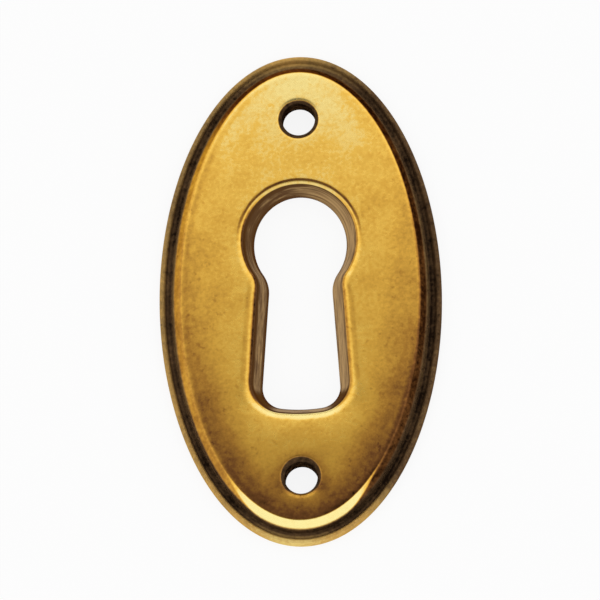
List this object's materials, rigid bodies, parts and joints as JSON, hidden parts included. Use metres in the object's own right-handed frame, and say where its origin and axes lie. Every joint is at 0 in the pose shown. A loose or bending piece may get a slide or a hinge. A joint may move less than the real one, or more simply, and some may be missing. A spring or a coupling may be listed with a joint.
{
  "type": "keyhole escutcheon",
  "caption": "Oval cast brass keyhole escutcheon with a crowned field, a grooved moulded edge, a keyhole with drafted walls and a countersunk screw hole at each end.",
  "frame": {"origin": "middle of the flat back, under the middle of the oval", "axes": "+Z out of the front face, +Y along the oval towards the round head of the keyhole, +X to the right as seen from the front"},
  "size_m": [0.025, 0.045, 0.0023],
  "materials": {
    "antique_brass": "antiqued and tumbled, dark brown in the groove and the holes, worn bright on its edges"
  },
  "bodies": {
    "root": {"escutcheon_plate": "antique_brass"}
  },
  "joints": []
}
